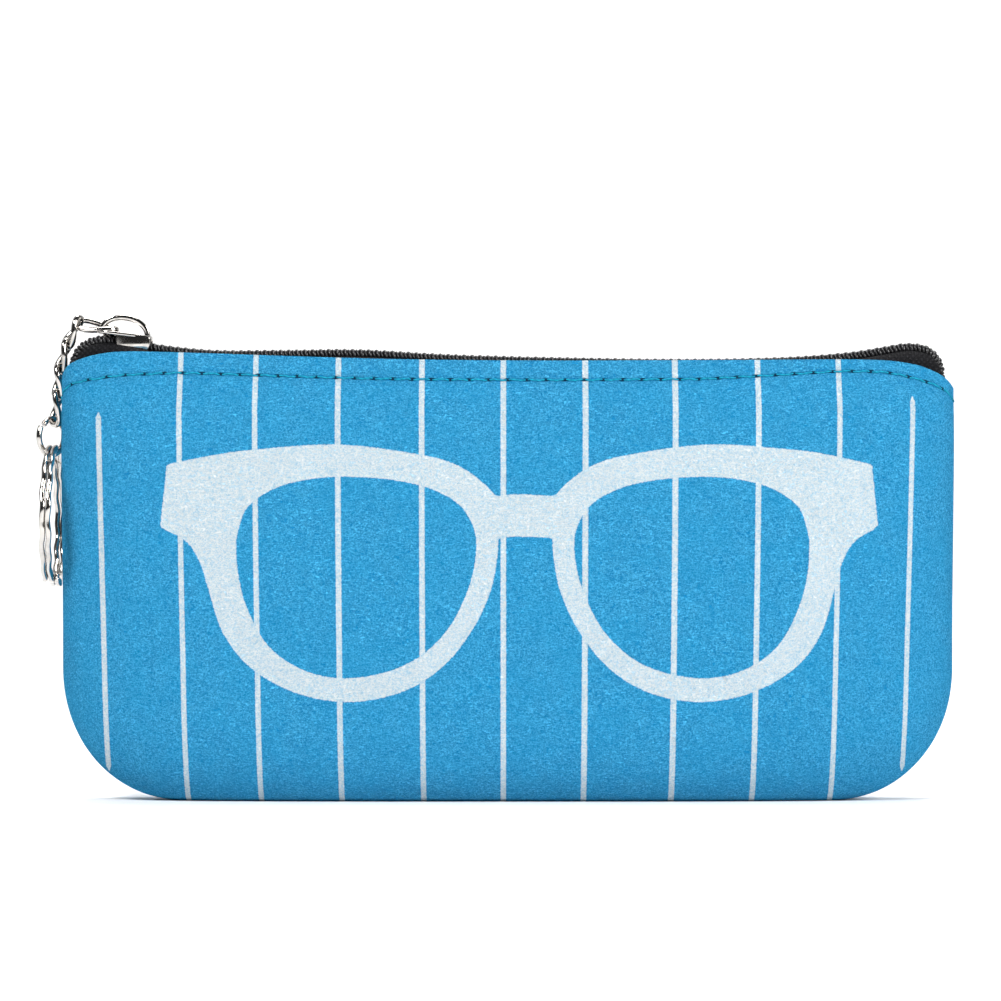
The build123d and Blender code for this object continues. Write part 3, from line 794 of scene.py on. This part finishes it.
def felt_attributes(obj):
    """Values that the felt material reads for its print."""
    co = np.empty(len(obj.data.vertices) * 3, np.float32)
    obj.data.vertices.foreach_get("co", co)
    co = co.reshape(-1, 3) / MM
    x, z = co[:, 0].astype(float), co[:, 2].astype(float)
    taper = 1 + STRIPE_TAPER * (z - STRIPE_TAPER_AT)
    lean = 1 + STRIPE_LEAN * np.clip((z - STRIPE_LEAN_FROM) / STRIPE_LEAN_OVER, 0, 1)
    pattern = VIEW_MIDDLE[0] + (x - VIEW_MIDDLE[0]) * lean / PRINT_SHRINK / taper
    places = (2 * STRIPES[0] - STRIPES[1], *STRIPES, 2 * STRIPES[-1] - STRIPES[-2])
    set_value(obj, "stripe", np.interp(pattern, places, range(-1, len(STRIPES) + 1)))
    high = np.where(x < 0, *OUTER_STRIPE_HIGH)
    room = np.minimum(z - OUTER_STRIPE_LOW, high - z)
    room = np.where(np.abs(x) > OUTER_STRIPE_FROM, room, PRINT_FAR)
    room = np.where(np.abs(pattern) > STRIPES_END, -PRINT_FAR, room)
    set_value(obj, "stripe_room", room)
    set_value(obj, "print_inside", print_depth(np.column_stack([x, z])))


def opening(obj):
    """Bakes a half piece's placement into its mesh."""
    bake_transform(obj)


def seam_path():
    """The U that the turned-in felt follows, down the left side and up the right, as (x, z)."""
    steps = 24
    side = []
    for k in range(steps + 1):
        z = CORNER_HEIGHT * (1 - math.cos(math.pi / 2 * k / steps))
        side.append((half_width(z) - ALLOWANCE_INSET, z + 1.0))
    side += [(HALF_WIDTH - ALLOWANCE_INSET, z) for z in np.arange(32, SEAM_TOP, 6.0)]
    across = [(x, 1.0) for x in np.linspace(-side[0][0], side[0][0], 40)[1:-1]]
    return np.array([*[(-x, z) for x, z in side[::-1]], *across, *side])


def seam_allowance():
    """The felt turned in along the sides and bottom, seen only when the mouth is open."""
    path = seam_path()
    parts = []
    for side in (-1, 1):
        rows = []
        for k, (x, z) in enumerate(path):
            run = run_at(path, k)
            far = SEAM_ALLOWANCE - 2.5 + ALLOWANCE_RIPPLE * math.sin(k * 0.9)
            shape = ((0.0, 0.35), (far, 0.3), (far + 0.2, 0.9), (far, 1.6), (0.0, 1.7))
            rows.append([(x - run.y * reach, side * y, z + run.x * reach) for reach, y in shape])
        sides = len(rows[0])
        faces = grid_faces(len(rows), sides, closed=True) + end_caps(sides, len(rows))
        parts.append(([v for row in rows for v in row], faces))
    obj = new_object("turned_in_seam_allowance", *joined(parts), [felt_material])
    weld(obj)
    set_rest(obj)
    return obj


# ---- Zipper ----

COIL_CURVE = smooth_line(COIL_LINE, 10)


def coil_route(side):
    """Evenly spaced centre points of one coil."""
    dense = []
    for x, z in COIL_CURVE:
        apart = float(np.interp(x, *zip(*COIL_APART)))
        dense.append((x, side * apart, z))
    dense = np.array(dense)
    run = np.concatenate([[0], np.cumsum(np.linalg.norm(np.diff(dense, axis=0), axis=1))])
    steps = int(run[-1] / COIL_PITCH * COIL_STEPS)
    at = np.linspace(0, run[-1], steps)
    return np.column_stack([np.interp(at, run, dense[:, k]) for k in range(3)]), at


def half_range(route, end):
    """The points of a route that belong to the left or the right half."""
    keep = route[:, 0] <= 0 if end < 0 else route[:, 0] >= 0
    return np.nonzero(keep)[0]


def coil(name, side, end):
    """Half of one coil, with the thread that sews it to the tape between its turns."""
    route, run = coil_route(side)
    lag = 0.5 if side > 0 else 0.0
    turns, sewing = [], []
    inwards = Vector((0, -side, 0))
    for k in half_range(route, end):
        centre, tangent = Vector(route[k]), run_at(route, k)
        up = (Vector((0, 0, 1)) - tangent * tangent.z).normalized()
        turn = 2 * math.pi * (run[k] / COIL_PITCH + lag) * -side
        high = COIL_HALF_HIGH * math.copysign(abs(math.sin(turn)) ** 0.8, math.sin(turn))
        wide = COIL_HALF_WIDE * math.cos(turn) + COIL_INWARDS
        turns.append(centre + up * high + inwards * wide)
        high = -SEWING_HALF_HIGH * math.sin(turn)
        wide = -SEWING_HALF_WIDE * math.cos(turn) - SEWING_OUTWARDS
        sewing.append(centre + up * high + inwards * wide)
    parts = [tube(turns, COIL_WIRE, 8), tube(sewing, SEWING, 6)]
    obj = new_object(name, *joined(parts), [coil_material])
    set_rest(obj)
    return obj


def filler_cord(name, side, end):
    """Half of the cord inside one coil."""
    route, _ = coil_route(side)
    index = half_range(route, end)[::4]
    obj = new_object(name, *tube(route[index], FILLER_CORD, 8), [cord_material])
    set_rest(obj)
    return obj


def tape_profile(column, side, end):
    """One column of a tape: up inside the felt, arched over, and tucked under its coil."""
    x_low, y_low = wall_point(column, TAPE_BOTTOM, end, FELT + TAPE_CLEAR)
    edge = top_height(column, end) - TAPE_BELOW_EDGE
    x_edge, y_edge = wall_point(column, edge, end, FELT + TAPE_CLEAR)
    x_top = min(max(x_edge * TAPE_DRAWN_IN, TAPE_ENDS[0]), TAPE_ENDS[1])
    z_top = float(np.interp(x_top, COIL_CURVE[:, 0], COIL_CURVE[:, 1])) - TAPE_BELOW_COIL
    apart = float(np.interp(x_top, *zip(*COIL_APART)))
    y_top = min(apart + TAPE_BESIDE_COIL, y_edge)
    y_edge = max(y_edge, TAPE_FROM_MIDDLE)
    y_low = max(y_low, TAPE_FROM_MIDDLE)
    rise = max(z_top - edge, 0.3)
    low = Vector((x_low, y_low, TAPE_BOTTOM))
    bend = Vector((x_edge, y_edge, edge))
    knee = Vector((x_edge, y_edge * 0.98, edge + rise * 0.9))
    over = Vector((x_top, y_top + (y_edge - y_top) * 0.45, z_top + 0.1))
    top = Vector((x_top, y_top, z_top))
    under = Vector((x_top, max(apart - COIL_OFFSET + 0.3, 0.3), z_top - TAPE_TUCK))
    points = [low.lerp(bend, k / 8) for k in range(8)]
    for k in range(11):
        t = k / 10
        points.append(
            bend * (1 - t) ** 3 + knee * 3 * t * (1 - t) ** 2
            + over * 3 * t**2 * (1 - t) + top * t**3
        )
    points += [top.lerp(under, k / 4) - Vector((0, 0, 0.3)) * (k < 4) for k in range(1, 5)]
    return [(p.x, side * p.y, p.z) for p in points]


def tape(name, side, end):
    """Half of one tape, sewn inside the felt and carrying its coil."""
    rows = [tape_profile(column, side, end) for column in range(COLUMNS + 1)]
    vertices = [v for row in rows for v in row]
    obj = new_object(name, vertices, grid_faces(len(rows), len(rows[0])), [tape_material])
    weld(obj)
    facing = sum(p.normal.z + side * p.normal.y for p in obj.data.polygons)
    if facing < 0:
        obj.data.flip_normals()
    solid = obj.modifiers.new("thickness", "SOLIDIFY")
    solid.thickness = TAPE * MM
    solid.offset = -1
    solid.use_quality_normals = True
    apply_modifiers(obj)
    set_rest(obj)
    return obj


def topstitch(name, side, end):
    """Half of the topstitch thread, dipping into the felt at each needle hole."""
    _, run, line = stitch_line()
    count = int((run[-1] - run[0]) / 0.2)
    points = []
    for at in np.linspace(run[0], run[-1], count):
        x, y, z = (float(np.interp(at, run, line[:, k])) for k in range(3))
        if x * end < 0:
            continue
        phase = at / STITCH_PITCH - round(at / STITCH_PITCH)
        rise = min(1.0, abs(phase) / STITCH_DIP_LENGTH) ** 0.8
        out = surface_wave(x, z, side) * min(1.0, y / CALM_SEAM)
        out += STITCH_DIP * rise - STITCH_SUNK
        points.append((x, side * (y + out), z + 0.1 * math.sin(at * 1.7)))
    obj = new_object(name, *tube(points, THREAD_RADIUS, 8), [thread_material])
    set_rest(obj)
    return obj


# ---- Metal ----

def swept(path, shape, frames, closed=False):
    """A shape of (out, side) points carried along a path; frames give both directions."""
    vertices = []
    for point, (out, side) in zip(path, frames):
        vertices += [point + out * a + side * b for a, b in shape]
    sides, rows = len(shape), len(path)
    faces = grid_faces(rows, sides, closed=True)
    if not closed:
        return vertices, faces + end_caps(sides, rows)
    last = (rows - 1) * sides
    faces += [(last + k, last + (k + 1) % sides, (k + 1) % sides, k) for k in range(sides)]
    return vertices, faces


def rounded_bar(thick, wide, power=0.45, count=16):
    """Cross-section of a bar with soft edges, as (out, side)."""
    shape = []
    for a in np.linspace(0, 2 * math.pi, count, endpoint=False):
        out = math.copysign(abs(math.cos(a)) ** power, math.cos(a)) * thick / 2
        side = math.copysign(abs(math.sin(a)) ** power, math.sin(a)) * wide / 2
        shape.append((out, side))
    return shape


def slab(outline, low, high, rounding, place):
    """A plate with rounded edges. place turns (outline point, level) into a position."""
    middle = np.mean(outline, axis=0)
    span = np.abs(np.array(outline) - middle).max()
    rings = []
    for level, inset in ((low, 1.0), (low + 0.3 * rounding, 0.3), (low + rounding, 0.0),
                         (high - rounding, 0.0), (high - 0.3 * rounding, 0.3), (high, 1.0)):
        share = 1 - inset * rounding / span
        rings += [place(middle + (np.array(p) - middle) * share, level) for p in outline]
    count = len(outline)
    return rings, grid_faces(6, count, closed=True) + end_caps(count, 6)


def slider():
    """Two plates joined by the wedge at the front, a skirt each side and the pull bridge."""
    half = smooth_line(SLIDER_PLAN, 5)
    plan = [*half, *[(x, -y) for x, y in half[-2:0:-1]]]
    skirt = smooth_line(FLANGE_OUTLINE, 3)

    def flat(point, level):
        return Vector((SLIDER_FRONT + point[0], point[1], level))

    def falling(point, level):
        return Vector((SLIDER_FRONT + point[0], point[1], level - SLIDER_FALL * point[0]))

    parts = [
        slab(plan, TOP_PLATE_HIGH - TOP_PLATE, TOP_PLATE_HIGH, PLATE_ROUNDING, falling),
        slab(plan, LOW_PLATE_HIGH - LOW_PLATE, LOW_PLATE_HIGH, PLATE_ROUNDING, flat),
    ]
    for side in (-1, 1):
        def upright(point, level, side=side):
            return Vector((SLIDER_FRONT + point[0], side * level, point[1]))
        parts.append(slab(skirt, FLANGE_OUT - FLANGE, FLANGE_OUT, FLANGE_ROUNDING, upright))
    middle, reach = (WEDGE_FROM + WEDGE_TO) / 2, (WEDGE_TO - WEDGE_FROM) / 2
    wedge = [
        (middle + reach * math.cos(a), WEDGE_HALF_WIDTH * math.sin(a))
        for a in np.linspace(0, 2 * math.pi, 20, endpoint=False)
    ]
    wedge_low, wedge_high = LOW_PLATE_HIGH - 0.3, TOP_PLATE_HIGH - TOP_PLATE
    parts.append(slab(wedge, wedge_low, wedge_high, WEDGE_ROUNDING, flat))
    arch = [Vector((SLIDER_FRONT + x, 0, z)) for x, z in smooth_line(BRIDGE_LINE, 8)]
    beside = Vector((0, 1, 0))
    frames = [(beside.cross(run_at(arch, k)), beside) for k in range(len(arch))]
    parts.append(swept(arch, rounded_bar(BRIDGE_THICK, BRIDGE_WIDE), frames))
    obj = new_object("zipper_slider", *joined(parts), [nickel_material])
    weld(obj, 0.001)
    return obj


def closed_wire(name, path, radius, sides=12):
    """Round wire along a closed path."""
    centre = sum(path, Vector()) / len(path)
    frames = []
    for k, point in enumerate(path):
        run = (path[(k + 1) % len(path)] - path[k - 1]).normalized()
        out = point - centre
        out = (out - run * out.dot(run)).normalized()
        frames.append((out, run.cross(out)))
    around = np.linspace(0, 2 * math.pi, sides, endpoint=False)
    shape = [(radius * math.cos(a), radius * math.sin(a)) for a in around]
    obj = new_object(name, *swept(path, shape, frames, closed=True), [nickel_material])
    weld(obj, 0.001)
    return obj


def chain_link(number):
    """Twisted oval link between two places where the chain hangs."""
    top, bottom = (Vector((x, 0, z)) for x, z in CHAIN[number - 1:number + 1])
    down = (bottom - top).normalized()
    if number > 1:
        top -= down * (2 * LINK_WIRE + LINK_PLAY)
    across = down.cross(Vector((0, 1, 0)))
    start, finish = (math.radians(a) for a in LINK_ENDS[number - 1])
    middle = (top + bottom) / 2
    long = (bottom - top).length / 2
    wide = LINK_WIDTH / 2 - LINK_WIRE
    path = []
    for a in np.linspace(0, 2 * math.pi, 64, endpoint=False):
        along = -long * math.copysign(abs(math.cos(a)) ** LINK_END_POWER, math.cos(a))
        out = wide * math.copysign(abs(math.sin(a)) ** LINK_SIDE_POWER, math.sin(a))
        turn = start + (finish - start) * (along + long) / (2 * long)
        beside = Vector((0, 1, 0)) * math.cos(turn) + across * math.sin(turn)
        path.append(middle + down * along + beside * out)
    return closed_wire(f"curb_link_{number}", path, LINK_WIRE)


def jump_ring():
    """Open ring of round wire, its cut ends a little out of line."""
    centre = Vector((JUMP_RING_X, 0, CHAIN[-1][1] + LINK_WIRE + JUMP_RING_WIRE - JUMP_RING))
    turn = math.radians(JUMP_RING_TURN)
    beside = Vector((math.cos(turn), math.sin(turn), 0))
    up = Vector((0, 0, 1))
    cut, gap = math.radians(JUMP_RING_CUT), math.radians(JUMP_RING_GAP)
    path = []
    for share in np.linspace(0, 1, 72):
        a = cut + gap / 2 + share * (2 * math.pi - gap)
        aside = beside.cross(up) * JUMP_RING_SPREAD * (share - 0.5)
        path.append(centre + (beside * math.cos(a) + up * math.sin(a)) * JUMP_RING + aside)
    obj = new_object("open_jump_ring", *tube(path, JUMP_RING_WIRE, 12), [nickel_material])
    weld(obj, 0.001)
    return obj


def split_ring():
    """Two turns of flat strip with a hammered waviness, seen nearly edge-on."""
    axis, beside = Vector((1, 0, 0)), Vector((0, 1, 0))
    middle = RING_OUTER - RING_BAND / 2
    centre = Vector((RING_X, 0, RING_TOP - RING_OUTER))
    path, frames = [], []
    start = math.radians(RING_START)
    for a in np.linspace(0, 4 * math.pi, 420):
        out = Vector((0, 0, 1)) * math.cos(a + start) + beside * math.sin(a + start)
        wave = RING_WAVE * (math.sin(RING_WAVES * a) + 0.5 * math.sin(RING_WAVES_SLOW * a))
        step = RING_STEP * (a / (2 * math.pi) - 1)
        path.append(centre + out * (middle + wave) + axis * (step + 0.9 * wave))
        frames.append((out, axis))
    shape = rounded_bar(RING_BAND, RING_STRIP, 0.6)
    obj = new_object("split_key_ring", *swept(path, shape, frames), [nickel_material])
    weld(obj, 0.001)
    return obj


# ---- Stage ----

def add_camera():
    data = bpy.data.cameras.new("camera")
    camera = bpy.data.objects.new("camera", data)
    bpy.context.collection.objects.link(camera)
    camera.location = (VIEW_MIDDLE[0] * MM, -CAMERA_AWAY, VIEW_MIDDLE[1] * MM)
    camera.rotation_euler = (math.pi / 2, 0, 0)
    data.lens = CAMERA_LENS
    data.sensor_width = CAMERA_SENSOR
    data.clip_start, data.clip_end = 0.01, 20
    bpy.context.scene.camera = camera


def add_light(name, place, target, size, power):
    data = bpy.data.lights.new(name, "AREA")
    data.shape, data.size, data.energy = "DISK", size, power
    light = bpy.data.objects.new(name, data)
    bpy.context.collection.objects.link(light)
    light.location = place
    light.rotation_euler = (Vector(target) - Vector(place)).to_track_quat("-Z", "Y").to_euler()


def add_floor():
    """Pale floor that curves up behind the case."""
    reach, rise, bend, back = 3.0, 3.0, 0.6, 0.9
    profile = [(-reach, 0.0), (back, 0.0)]
    profile += [
        (back + bend * math.sin(a), bend * (1 - math.cos(a)))
        for a in np.linspace(0.1, math.pi / 2, 14)
    ]
    profile.append((back + bend, rise))
    vertices = [(x / MM, y / MM, z / MM) for y, z in profile for x in (-reach, reach)]
    obj = new_object("floor", vertices, grid_faces(len(profile), 2))
    n = Nodes("pale_floor")
    place = n.make("TexCoord").outputs["Object"]
    colour = n.mix(n.noise(place, 9.0, 3.0), (0.90, 0.90, 0.90, 1), (0.93, 0.93, 0.93, 1))
    obj.data.materials.append(n.finish(Base_Color=colour, Roughness=0.8))


def add_world():
    """Room light: pale behind the case and dim in front of it, as polished metal shows."""
    world = bpy.data.worlds.new("studio")
    world.use_nodes = True
    tree = world.node_tree
    place = tree.nodes.new("ShaderNodeTexCoord").outputs["Generated"]
    split = tree.nodes.new("ShaderNodeSeparateXYZ")
    tree.links.new(place, split.inputs[0])
    level = tree.nodes.new("ShaderNodeMapRange")
    level.inputs["From Min"].default_value = -0.3
    level.inputs["From Max"].default_value = 0.9
    level.inputs["To Min"].default_value = 0.03
    level.inputs["To Max"].default_value = 0.50
    tree.links.new(split.outputs["Y"], level.inputs["Value"])
    background = tree.nodes["Background"]
    background.inputs["Color"].default_value = (0.95, 0.97, 1.0, 1)
    tree.links.new(level.outputs["Result"], background.inputs["Strength"])
    bpy.context.scene.world = world


# ---- Put together ----

add_camera()
add_world()
add_floor()
for light in LIGHTS:
    add_light(*light)
bpy.context.scene.view_settings.view_transform = "Standard"

felt_material = plain_felt()
printed_material = panel_felt("printed_blue_felt", printed=True)
back_material = panel_felt("stitched_blue_felt", printed=False)
edge_material = cut_felt()
thread_material = sewing_thread("blue_sewing_thread", THREAD_DARK, THREAD_BLUE)
tape_material = woven_tape()
coil_material = nylon()
cord_material = braided_cord()
nickel_material = nickel()

HALVES = ((-1, "left"), (1, "right"))
for side, face in ((-1, "front"), (1, "back")):
    whole_felt = whole_panel(f"{face}_felt", side, printed=side < 0)
    for end, half in HALVES:
        panel = cut_half(whole_felt, f"{face}_felt_{half}", end)
        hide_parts(f"{face}_felt_panel")
        ribbon = tape(f"{face}_tape_{half}", side, end)
        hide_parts(f"{face}_zipper_tape")
        teeth = coil(f"{face}_coil_{half}", side, end)
        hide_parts(f"{face}_zipper_coil")
        core = filler_cord(f"{face}_filler_cord_{half}", side, end)
        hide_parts(f"{face}_coil_filler_cord")
        thread = topstitch(f"{face}_topstitch_{half}", side, end)
        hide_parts(f"{face}_topstitch_thread")
        for piece in (panel, ribbon, teeth, core, thread):
            opening(piece)
    bpy.data.objects.remove(whole_felt)

allowance = seam_allowance()
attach(allowance, "pouch")

metal = [(slider(), "slider_body", "slider"), (jump_ring(), "jump_ring", "jump_ring"),
         (split_ring(), "split_ring", "split_ring")]
metal += [(chain_link(k), f"chain_link_{k}", f"link_{k}") for k in range(1, 6)]
for piece, node, body in metal:
    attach(piece, body)
    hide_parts(node)
seam_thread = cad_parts["side_and_bottom_seam_thread"]
seam_thread.data.materials.clear()
seam_thread.data.materials.append(thread_material)
